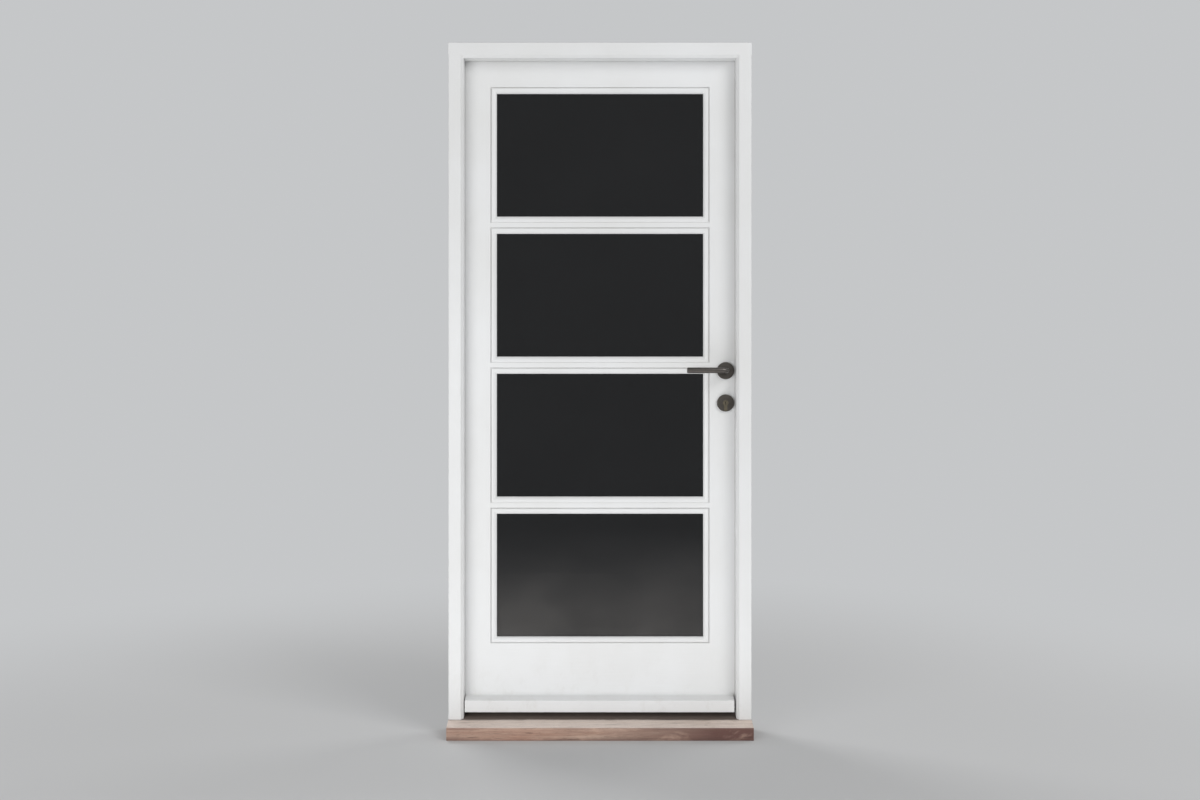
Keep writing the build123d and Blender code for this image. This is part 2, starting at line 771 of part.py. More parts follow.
outer_plug = cylinder_plug(cylinder_front, cam_y[0], cylinder_front)
inner_plug = cylinder_plug(cam_y[1] + running_gap, cylinder_back, cylinder_back)
cylinder_cam = rod_in_y(cylinder_radius, *cam_y, handle_x, cylinder_height) + block(
    (handle_x - cam_width / 2, handle_x + cam_width / 2),
    cam_y,
    (cylinder_height - cam_reach + running_gap, cylinder_height),
)

# The follower turns in the case's walls on a boss at each side.
# Its arm stands in front of the latch's lug.
follower_y = (cavity_y[0] + running_gap, cavity_y[1] - running_gap)
follower = (
    rod_in_y(follower_radius, *follower_y, handle_x, handle_height)
    + rod_in_y(follower_boss_radius, *case_y, handle_x, handle_height)
    + block(
        (handle_x - follower_arm_width / 2, handle_x + follower_arm_width / 2),
        follower_y,
        (handle_height, arm_top - follower_arm_width / 2),
    )
    + rod_in_y(follower_arm_width / 2, *follower_y, handle_x, arm_top - follower_arm_width / 2)
)
spindle_half = spindle_side / 2
spindle_front = leaf_front - rose_thickness - spindle_grip
spindle_back = leaf_back + rose_thickness + spindle_grip
spindle = block(
    (handle_x - spindle_half, handle_x + spindle_half),
    (spindle_front, spindle_back),
    (handle_height - spindle_half, handle_height + spindle_half),
)
spindle_room = block(
    (handle_x - spindle_half - running_fit, handle_x + spindle_half + running_fit),
    (spindle_front - running_fit, spindle_back + running_fit),
    (handle_height - spindle_half - running_fit, handle_height + spindle_half + running_fit),
)
follower = follower - spindle_room
lock_case = (
    case_outer
    - case_cavity
    - rod_in_y(follower_boss_radius + running_fit, *case_y, handle_x, handle_height)
    - profile_prism(cylinder_hole_play, *case_y)
)

# Countersunk screws hold the faceplate at its two ends.
faceplate_screws = [
    wood_screw(leaf_side, leaf_middle, z, -1, faceplate_thickness)
    for z in (faceplate_low + faceplate_screw_inset, faceplate_high - faceplate_screw_inset)
]
leaf_screws += faceplate_screws
lock_faceplate = plate_outer - latch_slot - deadbolt_slot - cylinder_screw
for screw in faceplate_screws:
    lock_faceplate = lock_faceplate - screw
    lock_stile = lock_stile - screw
lock_stile = (
    lock_stile
    - case_outer
    - plate_outer
    - rod_in_y(spindle_hole_radius, leaf_front, leaf_back, handle_x, handle_height)
    - profile_prism(cylinder_hole_play, leaf_front, leaf_back)
)

# The strike plate on the lock jamb is let in flush, over two pockets for the bolts.
strike_x = (rebate_side, rebate_side + strike_thickness)
strike_y = (leaf_middle - strike_front_margin, frame_depth)
strike_plate = block(strike_x, strike_y, (faceplate_low, faceplate_high))
strike_screws = [
    wood_screw(rebate_side, leaf_middle, z, 1, strike_thickness)
    for z in (faceplate_low + faceplate_screw_inset, faceplate_high - faceplate_screw_inset)
]
lock_jamb = lock_jamb - strike_plate
for low, high in ((latch_low, latch_high), (deadbolt_low, deadbolt_high)):
    pocket_x = (rebate_side, rebate_side + pocket_depth)
    pocket_y = (bolt_y[0] - pocket_play, bolt_y[1] + pocket_play)
    pocket = block(pocket_x, pocket_y, (low - pocket_play, high + pocket_play))
    strike_plate = strike_plate - pocket
    lock_jamb = lock_jamb - pocket
for screw in strike_screws:
    strike_plate = strike_plate - screw
    lock_jamb = lock_jamb - screw
frame_screws += strike_screws

# The roses and escutcheons are turned discs with an eased rim, alike on both faces of the leaf.
leaf_mirror = Plane((0, leaf_middle, 0), z_dir=(0, 1, 0))


def turned_disc(height):
    """A round plate on the outer face of the leaf."""
    disc = rod_in_y(rose_radius, leaf_front - rose_thickness, leaf_front, handle_x, height)
    rim = disc.edges().filter_by(GeomType.CIRCLE).sort_by(Axis.Y)[0]
    return chamfer(rim, rose_edge)


rose = turned_disc(handle_height) - rod_in_y(
    lever_radius + running_fit, leaf_front - rose_thickness, leaf_front, handle_x, handle_height
)
escutcheon = turned_disc(cylinder_height) - profile_prism(
    cylinder_hole_play, leaf_front - rose_thickness, leaf_front
)

# Each lever is one bent round bar: a neck out of the rose, a tight bend and a straight grip.
lever_y = leaf_front - lever_projection + lever_radius
neck_end = lever_y + lever_bend
grip_start = handle_x - lever_bend
neck = rod_in_y(lever_radius, neck_end, leaf_front, handle_x, handle_height)
bend_circle = Plane((handle_x, neck_end, handle_height), z_dir=(0, 1, 0)) * Circle(lever_radius)
bend = revolve(bend_circle, Axis((grip_start, neck_end, handle_height), (0, 0, 1)), -90)
grip = rod_in_x(lever_radius, handle_x - lever_length, grip_start, lever_y, handle_height)
grip = chamfer(grip.edges().filter_by(GeomType.CIRCLE).sort_by(Axis.X)[0], lever_end_ease)
lever = neck + bend + grip - spindle_room

# Holes through the jambs, between the stop and the hinges, take the fixings to the wall.
fixing_y = stop_back + fixing_setback + fixing_radius
fixing_low = sill_height + fixing_end_inset
fixing_high = stop_top - fixing_end_inset
for z in (fixing_low, fixing_low + fixing_pitch, fixing_high - fixing_pitch, fixing_high):
    hole = rod_in_x(fixing_radius, stop_side, frame_side, fixing_y, z)
    lock_jamb = lock_jamb - hole
    hinge_jamb = hinge_jamb - mirror(hole, about=Plane.YZ)

write("sill", sill_solid)
write("water_bar", water_bar)
write("frame_head", head_solid)
write("jamb_lock_side", lock_jamb)
write("jamb_hinge_side", hinge_jamb)
write("seal_lock_side", lock_seal)
write("seal_hinge_side", hinge_seal)
write("seal_head", head_seal)
write("strike_plate", strike_plate)
write("frame_screws", *frame_screws)
write("stile_lock_side", lock_stile)
write("stile_hinge_side", hinge_stile)
write("top_rail", top_rail)
write("bottom_rail", bottom_rail)
for number, bar in enumerate(bars, start=1):
    write(f"glazing_bar_{number}", bar)
write("weather_bar", weather_bar)
write("bottom_seal", bottom_seal)
write("leaf_screws", *leaf_screws)
write("lock_case", lock_case)
write("lock_faceplate", lock_faceplate)
write("latch_bolt", latch_bolt)
write("deadbolt", deadbolt)
write("follower", follower)
write("spindle", spindle)
write("lever_outside", lever)
write("lever_inside", mirror(lever, about=leaf_mirror))
write("rose_outside", rose)
write("rose_inside", mirror(rose, about=leaf_mirror))
write("escutcheon_outside", escutcheon)
write("escutcheon_inside", mirror(escutcheon, about=leaf_mirror))
write("cylinder_body", cylinder_body)
write("cylinder_screw", cylinder_screw)
write("outer_plug", outer_plug)
write("inner_plug", inner_plug)
write("cylinder_cam", cylinder_cam)
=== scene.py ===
import math
import bmesh
import bpy
from mathutils import Matrix, Vector


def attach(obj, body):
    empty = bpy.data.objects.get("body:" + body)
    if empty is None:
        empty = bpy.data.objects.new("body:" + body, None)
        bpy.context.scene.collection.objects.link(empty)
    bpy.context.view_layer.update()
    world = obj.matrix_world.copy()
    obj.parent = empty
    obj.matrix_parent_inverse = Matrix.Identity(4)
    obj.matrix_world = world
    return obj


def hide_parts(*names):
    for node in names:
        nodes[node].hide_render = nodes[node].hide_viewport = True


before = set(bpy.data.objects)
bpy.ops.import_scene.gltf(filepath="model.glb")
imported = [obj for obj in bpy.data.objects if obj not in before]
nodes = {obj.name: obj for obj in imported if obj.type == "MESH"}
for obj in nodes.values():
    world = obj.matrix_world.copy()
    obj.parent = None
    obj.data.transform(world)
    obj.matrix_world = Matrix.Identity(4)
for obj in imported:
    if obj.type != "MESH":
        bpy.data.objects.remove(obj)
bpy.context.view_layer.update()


# The door is seen square on, from about four metres in front of it and a metre above
# its foot, with a level camera that keeps its upright lines upright.
lens_length = 39.5
sensor_width = 36.0
camera_distance = 3.95
camera_height = 1.008

scene = bpy.context.scene
scene.view_settings.view_transform = "Standard"
camera_data = bpy.data.cameras.new("camera")
camera_data.sensor_width = sensor_width
camera_data.lens = lens_length
camera = bpy.data.objects.new("camera", camera_data)
camera.location = (0.0, -camera_distance, camera_height)
camera.rotation_euler = (math.radians(90), 0.0, 0.0)
scene.collection.objects.link(camera)
scene.camera = camera


# The studio is a pale matt floor that fades into a plain pale surround. A high and a lower
# soft lamp light each face of the door, and one on the floor gives the light off the ground.
backdrop_tone = (0.56, 0.57, 0.58, 1.0)
floor_tone = (0.62, 0.625, 0.63, 1.0)
plain_white = (1.0, 1.0, 1.0, 1.0)
ambient_level = 0.28
floor_half = 40.0
fade_start = 1.1
fade_end = 3.6
door_middle = Vector((0.0, 0.04, 1.0))
straight_up = Vector((0.0, 0.0, 1.0))


def put(tree, kind, sockets=(), **settings):
    """A shader node with its settings, and its sockets fed by a value or by another node."""
    node = tree.nodes.new("ShaderNode" + kind)
    for key, value in settings.items():
        setattr(node, key, value)
    for key, value in dict(sockets).items():
        if isinstance(value, bpy.types.NodeSocket):
            tree.links.new(value, node.inputs[key])
        else:
            node.inputs[key].default_value = value
    return node


def new_finish(name):
    """A material, its node tree and its one shader."""
    finish = bpy.data.materials.new(name)
    finish.use_nodes = True
    return finish, finish.node_tree, finish.node_tree.nodes["Principled BSDF"]


world = bpy.data.worlds.new("surround")
world.use_nodes = True
scene.world = world
air = world.node_tree
air.nodes.clear()
rays = put(air, "LightPath").outputs
seen = rays["Is Camera Ray"]
for kind in ("Is Glossy Ray", "Is Transmission Ray"):
    seen = put(air, "Math", {0: seen, 1: rays[kind]}, operation="MAXIMUM").outputs[0]
soft_light = put(air, "Background", {"Color": plain_white, "Strength": ambient_level})
pale_surround = put(air, "Background", {"Color": backdrop_tone, "Strength": 1.0})
chosen = put(air, "MixShader", {0: seen, 1: soft_light.outputs[0], 2: pale_surround.outputs[0]})
put(air, "OutputWorld", {"Surface": chosen.outputs[0]})

floor_mesh = bpy.data.meshes.new("floor")
shape = bmesh.new()
bmesh.ops.create_grid(shape, x_segments=1, y_segments=1, size=floor_half)
shape.to_mesh(floor_mesh)
shape.free()
floor = bpy.data.objects.new("floor", floor_mesh)
scene.collection.objects.link(floor)
floor_finish, tree, shader = new_finish("pale_floor")
shader.inputs["Base Color"].default_value = floor_tone
shader.inputs["Roughness"].default_value = 0.9
shader.inputs["Specular IOR Level"].default_value = 0.15
place = put(tree, "TexCoord").outputs["Object"]
distance = put(tree, "VectorMath", {0: place}, operation="LENGTH").outputs["Value"]
fade = {"Value": distance, "From Min": fade_start, "From Max": fade_end}
far = put(tree, "MapRange", fade, interpolation_type="SMOOTHSTEP")
glow = put(tree, "Emission", {"Color": backdrop_tone, "Strength": 1.0})
surface = put(tree, "MixShader", {0: far.outputs["Result"], 1: shader.outputs[0], 2: glow.outputs[0]})
tree.links.new(surface.outputs[0], tree.nodes["Material Output"].inputs["Surface"])
floor_mesh.materials.append(floor_finish)

for name, spot, size, power in (
    ("main_lamp", (2.7, -3.3, 3.7), (2.4, 2.4), 86.0),
    ("low_lamp", (-2.2, -3.6, 1.05), (2.4, 1.2), 58.0),
    ("rear_lamp", (-2.7, 3.4, 3.7), (2.4, 2.4), 92.0),
    ("second_rear_lamp", (3.6, 2.7, 2.3), (2.4, 2.4), 52.0),
    ("ground_lamp", (0.0, -0.77, 0.02), (2.4, 1.26), 8.5),
):
    lamp = bpy.data.lights.new(name, "AREA")
    lamp.shape = "RECTANGLE"
    lamp.size, lamp.size_y = size
    lamp.energy = power
    holder = bpy.data.objects.new(name, lamp)
    holder.location = spot
    aim = straight_up if name == "ground_lamp" else door_middle - Vector(spot)
    holder.rotation_euler = aim.to_track_quat("-Z", "Y").to_euler()
    scene.collection.objects.link(holder)


# The sill is one length of bare tropical hardwood, planed and never painted.
# Its top has bleached pale pinkish brown, painted paler still as if sunlit, and its front edge is redder and
# worn.
bleached_and_sunlit_tones = ((0.830, 0.695, 0.610, 1), (0.920, 0.815, 0.745, 1))
weathered_tone = (0.440, 0.330, 0.265, 1)
front_tones = ((0.500, 0.300, 0.225, 1), (0.800, 0.600, 0.475, 1))
stain_tone = (0.135, 0.055, 0.047, 1)
damp_tone = (0.120, 0.066, 0.055, 1)
upper_band_tone = (0.160, 0.090, 0.072, 1)
bar_shadow_and_dirt_tone = (0.052, 0.038, 0.032, 1)
indoor_tones = ((0.230, 0.115, 0.075, 1), (0.345, 0.195, 0.135, 1))
end_grain_tones = ((0.120, 0.062, 0.045, 1), (0.260, 0.150, 0.105, 1))
dark_fibre_tone = (0.200, 0.130, 0.102, 1)
pale_fibre_tone = (0.640, 0.540, 0.460, 1)
pore_tone = (0.085, 0.050, 0.038, 1)
check_tone = (0.030, 0.020, 0.017, 1)
stained_run = (-0.06, 0.34)
damp_heights = (-0.004, -0.014)
upper_band_heights = (0.042, 0.049)
bar_shadow_and_dirt_depths = (0.000, 0.009)
indoor_depths = (0.063, 0.067)
arris_radius = 0.0025


def mix_tones(tree, share, first, second):
    """One colour fading into another."""
    node = put(tree, "Mix", {0: share, 6: first, 7: second}, data_type="RGBA")
    return node.outputs[2]


def stretched_noise(tree, place, scale, detail=4.0, roughness=0.55, distortion=0.0):
    """Noise drawn out by a different scale on each axis."""
    drawn = put(tree, "Mapping", {"Vector": place, "Scale": scale}).outputs[0]
    noise = put(tree, "TexNoise", {"Vector": drawn, "Scale": 1.0, "Detail": detail,
                                   "Roughness": roughness, "Distortion": distortion})
    return noise.outputs["Fac"]


def limits(tree, value, low, high, to_low=0.0, to_high=1.0):
    """A value brought from one range to another, clamped."""
    node = put(tree, "MapRange", {"Value": value, "From Min": low, "From Max": high,
                                  "To Min": to_low, "To Max": to_high})
    return node.outputs["Result"]


def times(tree, first, second):
    """The product of two values."""
    return put(tree, "Math", {0: first, 1: second}, operation="MULTIPLY").outputs[0]


def plus(tree, first, second):
    """The sum of two values."""
    return put(tree, "Math", {0: first, 1: second}, operation="ADD").outputs[0]


def emboss(tree, shader, height, strength, distance):
    """A fine relief on a finish. Gives its node."""
    bump = put(tree, "Bump", {"Height": height, "Strength": strength, "Distance": distance})
    tree.links.new(bump.outputs[0], shader.inputs["Normal"])
    return bump


def dress(node_names, finish):
    """Give the CAD nodes their finish."""
    for name in node_names:
        node_mesh = nodes[name].data
        node_mesh.materials.clear()
        node_mesh.materials.append(finish)


hardwood, tree, shader = new_finish("weathered_hardwood")
place = put(tree, "TexCoord").outputs["Object"]
along_sill, across_sill, height_of_sill = put(tree, "SeparateXYZ", {0: place}).outputs
normal = put(tree, "SeparateXYZ", {0: put(tree, "NewGeometry").outputs["Normal"]}).outputs
sawn_end = put(tree, "Math", {0: normal["X"]}, operation="ABSOLUTE").outputs[0]
figure = stretched_noise(tree, place, (1.6, 34.0, 34.0), 6.0, 0.6, 0.8)
fibres = stretched_noise(tree, place, (14.0, 420.0, 420.0), 5.0, 0.7)
pores = limits(tree, stretched_noise(tree, place, (55.0, 1100.0, 1100.0), 2.0), 0.60, 0.72)
patches = stretched_noise(tree, place, (5.0, 11.0, 11.0), 5.0, 0.62, 0.6)
checks = limits(tree, stretched_noise(tree, place, (7.0, 260.0, 260.0), 2.0, 0.5, 0.3), 0.69, 0.75)
rings = stretched_noise(tree, place, (1.0, 60.0, 210.0), 5.0, 0.7, 1.2)

front = mix_tones(tree, limits(tree, figure, 0.34, 0.66), *front_tones)
stain = times(tree, limits(tree, along_sill, *stained_run, 0.16, 0.96), limits(tree, patches, 0.34, 0.52))
front = mix_tones(tree, stain, front, stain_tone)
damp_line = plus(tree, height_of_sill, times(tree, patches, -0.030))
front = mix_tones(tree, limits(tree, damp_line, *damp_heights, 0.0, 0.55), front, damp_tone)
# A darker band runs along the top of the front face.
upper_band_line = plus(tree, height_of_sill, times(tree, patches, 0.022))
front = mix_tones(tree, times(tree, limits(tree, upper_band_line, *upper_band_heights), 0.45), front, upper_band_tone)
# Painted light: the top is painted paler than its bleached wood alone, as if lit by the sun.
top = mix_tones(tree, limits(tree, figure, 0.30, 0.70), *bleached_and_sunlit_tones)
top = mix_tones(tree, limits(tree, patches, 0.46, 0.70, 0.0, 0.32), top, weathered_tone)
grain = mix_tones(tree, limits(tree, normal["Z"], 0.45, 0.93), front, top)
# Painted shadow: behind the weather bar's front line the top goes near black, the bar's shadow over dirty,
# unbleached wood.
ragged_edge = plus(tree, across_sill, times(tree, patches, 0.012))
bar_shadow_and_dirt = limits(tree, ragged_edge, *bar_shadow_and_dirt_depths, 0.0, 0.90)
grain = mix_tones(tree, bar_shadow_and_dirt, grain, bar_shadow_and_dirt_tone)
indoors = mix_tones(tree, limits(tree, figure, 0.34, 0.66), *indoor_tones)
grain = mix_tones(tree, limits(tree, across_sill, *indoor_depths), grain, indoors)
end_grain = mix_tones(tree, limits(tree, rings, 0.35, 0.65), *end_grain_tones)
grain = mix_tones(tree, limits(tree, sawn_end, 0.7, 0.9), grain, end_grain)

aged = mix_tones(tree, limits(tree, fibres, 0.30, 0.62, 0.34, 0.0), grain, dark_fibre_tone)
aged = mix_tones(tree, limits(tree, fibres, 0.55, 0.80, 0.0, 0.22), aged, pale_fibre_tone)
aged = mix_tones(tree, times(tree, pores, 0.50), aged, pore_tone)
aged = mix_tones(tree, times(tree, checks, 0.85), aged, check_tone)
tree.links.new(aged, shader.inputs["Base Color"])
tree.links.new(limits(tree, fibres, 0.3, 0.7, 0.62, 0.82), shader.inputs["Roughness"])
relief = plus(tree, fibres, times(tree, pores, -0.8))
relief = plus(tree, relief, times(tree, checks, -2.5))
bump = emboss(tree, shader, relief, 0.55, 0.0006)
worn_arris = put(tree, "Bevel", {"Radius": arris_radius}, samples=4)
tree.links.new(worn_arris.outputs[0], bump.inputs["Normal"])
dress(["sill"], hardwood)


# The water bar is a galvanised steel flat bedded in a groove of the sill,
# standing up behind the foot of the leaf to stop driven rain.
def drawn_along(axis, along, across):
    """A noise scale that draws lines out along one axis."""
    return [along if name == axis else across for name in "XYZ"]


def plain_metal(name, tone, roughness, along):
    """A drawn or rolled metal with faint lines along one axis and a slight haze."""
    finish, tree, shader = new_finish(name)
    place = put(tree, "TexCoord").outputs["Object"]
    lines = stretched_noise(tree, place, drawn_along(along, 3.0, 900.0), 1.0, 0.5)
    haze = stretched_noise(tree, place, (38.0, 38.0, 38.0), 4.0, 0.6)
    darker = [part * 0.72 for part in tone] + [1]
    colour = mix_tones(tree, limits(tree, haze, 0.35, 0.7), [*tone, 1], darker)
    tree.links.new(colour, shader.inputs["Base Color"])
    shader.inputs["Metallic"].default_value = 1.0
    line_share = limits(tree, lines, 0.3, 0.7, -0.06, 0.06)
    haze_share = limits(tree, haze, 0.3, 0.7, roughness - 0.04, roughness + 0.08)
    tree.links.new(plus(tree, line_share, haze_share), shader.inputs["Roughness"])
    emboss(tree, shader, lines, 0.03, 0.0001)
    return finish


dress(["water_bar"], plain_metal("galvanised_steel", (0.44, 0.45, 0.46), 0.46, "X"))


# The jambs and head are rebated softwood, primed and brushed with white satin paint.
# Painted shade and dirt darken their corners, dirt lies low on the jambs, and the bolt pockets are bare
# wood.
fresh_tone = (0.786, 0.792, 0.796, 1)
aged_tone = (0.722, 0.722, 0.712, 1)
hair_tone = (0.60, 0.59, 0.56, 1)
corner_shade_and_dirt_tone = (0.380, 0.355, 0.315, 1)
splash_tone = (0.430, 0.385, 0.320, 1)
splash_heights = (0.26, 0.06)
corner_reach = 0.006
bare_tones = ((0.330, 0.215, 0.120, 1), (0.500, 0.360, 0.220, 1))
pocket_across = ((0.4235, 0.4245), (0.4535, 0.4525))
pocket_inwards = ((0.059, 0.061), (0.0935, 0.0925))
pocket_upwards = ((0.900, 0.905), (1.200, 1.195))


def white_paint(name, run):
    """Brushed satin white. Run is the axis that the timber and the brush follow."""
    finish, tree, shader = new_finish(name)
    place = put(tree, "TexCoord").outputs["Object"]
    height = put(tree, "SeparateXYZ", {0: place}).outputs["Z"]
    hairs = stretched_noise(tree, place, drawn_along(run, 9.0, 520.0), 3.0, 0.6)
    ridges = stretched_noise(tree, place, drawn_along(run, 1.7, 95.0), 3.0, 0.5, 0.3)
    clouds = stretched_noise(tree, place, (3.1, 3.1, 2.3), 5.0, 0.6)
    spatter = stretched_noise(tree, place, (26.0, 26.0, 20.0), 6.0, 0.7)
    colour = mix_tones(tree, limits(tree, clouds, 0.36, 0.68, 0.0, 0.7), fresh_tone, aged_tone)
    colour = mix_tones(tree, limits(tree, hairs, 0.25, 0.50, 0.10, 0.0), colour, hair_tone)
    # Painted shade: the paint darkens where ambient occlusion finds a near surface, in corners and joints,
    # mixed with dirt.
    open_share = put(tree, "AmbientOcclusion", {"Distance": corner_reach}, samples=6).outputs["AO"]
    corner_shade_and_dirt = times(tree, limits(tree, open_share, 0.46, 0.15), limits(tree, clouds, 0.30, 0.62, 0.30, 0.62))
    colour = mix_tones(tree, corner_shade_and_dirt, colour, corner_shade_and_dirt_tone)
    splash = times(tree, limits(tree, height, *splash_heights), limits(tree, spatter, 0.54, 0.74, 0.0, 0.20))
    colour = mix_tones(tree, splash, colour, splash_tone)
    tree.links.new(colour, shader.inputs["Base Color"])
    gloss = plus(tree, limits(tree, clouds, 0.3, 0.7, 0.30, 0.38), times(tree, splash, 0.6))
    tree.links.new(gloss, shader.inputs["Roughness"])
    emboss(tree, shader, plus(tree, times(tree, hairs, 0.35), ridges), 0.30, 0.0005)
    return finish


dress(["jamb_hinge_side"], white_paint("frame_paint_upright", "Z"))
dress(["frame_head"], white_paint("frame_paint_level", "X"))

pocketed_paint = white_paint("frame_paint_pocketed", "Z")
tree = pocketed_paint.node_tree
painted = tree.nodes["Principled BSDF"].inputs["Base Color"]
place = put(tree, "TexCoord").outputs["Object"]
ways = put(tree, "SeparateXYZ", {0: place}).outputs
pocket_sides = (pocket_across, pocket_inwards, pocket_upwards)
cut_away = 1.0
for way, sides in zip(ways, pocket_sides):
    for whole, cut in sides:
        cut_away = times(tree, cut_away, limits(tree, way, whole, cut))
fibres = stretched_noise(tree, place, (400.0, 400.0, 14.0), 4.0, 0.6)
bare_wood = mix_tones(tree, limits(tree, fibres, 0.3, 0.7), *bare_tones)
tree.links.new(mix_tones(tree, cut_away, painted.links[0].from_socket, bare_wood), painted)
dress(["jamb_lock_side"], pocketed_paint)


# The seals are black rubber compression strips, pushed into grooves in the stops of the
# jambs and head, where the closed leaf presses on them.
rubber_tone = (0.014, 0.014, 0.015, 1)
dusty_tone = (0.070, 0.066, 0.060, 1)


def black_rubber(name, along):
    """Matt rubber with a slightly dusty face."""
    finish, tree, shader = new_finish(name)
    place = put(tree, "TexCoord").outputs["Object"]
    dust = stretched_noise(tree, place, (60.0, 60.0, 60.0), 5.0, 0.65)
    colour = mix_tones(tree, limits(tree, dust, 0.45, 0.75, 0.0, 0.55), rubber_tone, dusty_tone)
    tree.links.new(colour, shader.inputs["Base Color"])
    tree.links.new(limits(tree, dust, 0.4, 0.7, 0.55, 0.75), shader.inputs["Roughness"])
    lines = stretched_noise(tree, place, drawn_along(along, 5.0, 800.0), 2.0)
    emboss(tree, shader, lines, 0.25, 0.0002)
    return finish


level_rubber = black_rubber("level_rubber", "X")
dress(["seal_hinge_side", "seal_lock_side"], black_rubber("upright_rubber", "Z"))
dress(["seal_head"], level_rubber)


# The strike plate is stainless steel with an opening for each bolt. It is let in flush
# over the two bolt pockets of the lock jamb and held by two countersunk screws.
lock_steel = plain_metal("brushed_stainless", (0.52, 0.51, 0.49), 0.30, "Z")
dress(["strike_plate"], lock_steel)


# Three steel butt hinges of five knuckles carry the leaf. Each has one flap on the jamb
# and one on the stile, and a headed pin down through their knuckles.
hinge_steel = plain_metal("zinc_plated_steel", (0.50, 0.50, 0.49), 0.34, "Z")
for number in (1, 2, 3):
    dress([f"frame_flap_{number}", f"leaf_flap_{number}"], hinge_steel)
dress(["hinge_pins"], hinge_steel)


# Countersunk steel wood screws hold the flaps, the strike plate and the lock's faceplate.
# Each has a cross recess, driven home at its own angle just below the plate's face.
screw_head = 0.0039
screw_sink = 0.0002
head_depth = 0.0019
shank_radius = 0.0019
screw_length = 0.0248
tip_length = 0.004
tip_share = 0.25
recess_half_width = 0.00045
recess_reach = 0.00165
recess_depth = 0.0014
recess_taper = 0.45
lowest_hinge = 0.339
hinge_spacing = 0.753
flap_rows = ((0.08467, 0.033), (0.07533, 0.027))
plate_depth = 0.072
plate_screw_heights = (0.940, 1.155)
flap_turn_step = 37
plate_turn_step = 52
first_plate_turn = 11
smooth_angle = 38
merge_distance = 0.000001


def points_of(made):
    """The points among the parts that a mesh operator made."""
    return [part for part in made if isinstance(part, bmesh.types.BMVert)]


def edges_at(points):
    """The edges that meet any of these points, each one once and in the same order each run."""
    return list(dict.fromkeys(edge for point in points for edge in point.link_edges))


def finished(name, shape, finishes, body, stands_for, merge=True):
    """A made shape as a piece that rides on its body and stands for its node."""
    if merge:
        bmesh.ops.remove_doubles(shape, verts=shape.verts, dist=merge_distance)
    bmesh.ops.recalc_face_normals(shape, faces=shape.faces)
    mesh = bpy.data.meshes.new(name)
    shape.to_mesh(mesh)
    shape.free()
    for finish in finishes:
        mesh.materials.append(finish)
    mesh.shade_smooth()
    mesh.set_sharp_from_angle(angle=math.radians(smooth_angle))
    piece = bpy.data.objects.new(name, mesh)
    scene.collection.objects.link(piece)
    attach(piece, body)
    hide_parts(*stands_for)


def crossed_screw(head, shank, length):
    """A countersunk screw that stands on the Z axis, its head's face at the height of the sink."""
    screw = bmesh.new()
    square = bmesh.ops.create_grid(screw, x_segments=1, y_segments=1, size=recess_half_width)["verts"]
    for edge in edges_at(square):
        outwards = (edge.verts[0].co + edge.verts[1].co).normalized() * recess_reach
        made = bmesh.ops.extrude_edge_only(screw, edges=[edge])["geom"]
        bmesh.ops.translate(screw, verts=points_of(made), vec=outwards)
    recess = list(screw.faces)
    recess_edges = [edge for edge in screw.edges if len(edge.link_faces) == 1]
    rim = bmesh.ops.create_circle(screw, cap_ends=False, segments=24, radius=head)["verts"]
    ring = edges_at(rim)
    # A known fault: this bridge comes out twisted, so its faces fold and lie over the recess.
    bmesh.ops.bridge_loops(screw, edges=ring + recess_edges)
    sunk = points_of(bmesh.ops.extrude_face_region(screw, geom=recess)["geom"])
    bmesh.ops.delete(screw, geom=recess, context="FACES_ONLY")
    bmesh.ops.scale(screw, verts=sunk, vec=(recess_taper, recess_taper, 1.0))
    bmesh.ops.translate(screw, verts=sunk, vec=(0.0, 0.0, -recess_depth))
    shank_length = length - head_depth - tip_length
    for share, depth in ((shank / head, head_depth), (1.0, shank_length), (tip_share, tip_length)):
        verts = points_of(bmesh.ops.extrude_edge_only(screw, edges=ring)["geom"])
        ring = [edge for edge in screw.edges if all(end in verts for end in edge.verts)]
        bmesh.ops.scale(screw, verts=verts, vec=(share, share, 1.0))
        bmesh.ops.translate(screw, verts=verts, vec=(0.0, 0.0, -depth))
    bmesh.ops.edgeloop_fill(screw, edges=ring)
    bmesh.ops.translate(screw, verts=screw.verts, vec=(0.0, 0.0, -screw_sink))
    bmesh.ops.recalc_face_normals(screw, faces=screw.faces)
    made_screw = bpy.data.meshes.new("loose_screw")
    screw.to_mesh(made_screw)
    screw.free()
    return made_screw


def drive(shape, screw, spot, faces_x, turn):
    """One screw set into the shape, its head facing along X or against it."""
    before = len(shape.verts)
    shape.from_mesh(screw)
    shape.verts.ensure_lookup_table()
    facing = Matrix.Rotation(math.radians(90 * faces_x), 4, "Y")
    placed = Matrix.Translation(spot) @ facing @ Matrix.Rotation(math.radians(turn), 4, "Z")
    bmesh.ops.transform(shape, matrix=placed, verts=shape.verts[before:])


wood_screw = crossed_screw(screw_head, shank_radius, screw_length)
hinge_middles = [lowest_hinge + hinge_spacing * number for number in range(3)]
flap_places = [(y, middle + end * rise)
               for middle in hinge_middles for end in (-1, 1) for y, rise in flap_rows]
for body, hinge_face, hinge_way, first_turn in (("frame", -0.422, 1, 12), ("leaf", -0.419, -1, 11)):
    shape = bmesh.new()
    for number, (y, z) in enumerate(flap_places):
        drive(shape, wood_screw, (hinge_face, y, z), hinge_way, first_turn + flap_turn_step * number)
    for number, z in enumerate(plate_screw_heights):
        turn = first_plate_turn + plate_turn_step * number
        drive(shape, wood_screw, (-hinge_face, plate_depth, z), -hinge_way, turn)
    finished(f"crossed_{body}_screws", shape, [hinge_steel], body,
             [f"{body}_screws"], merge=False)


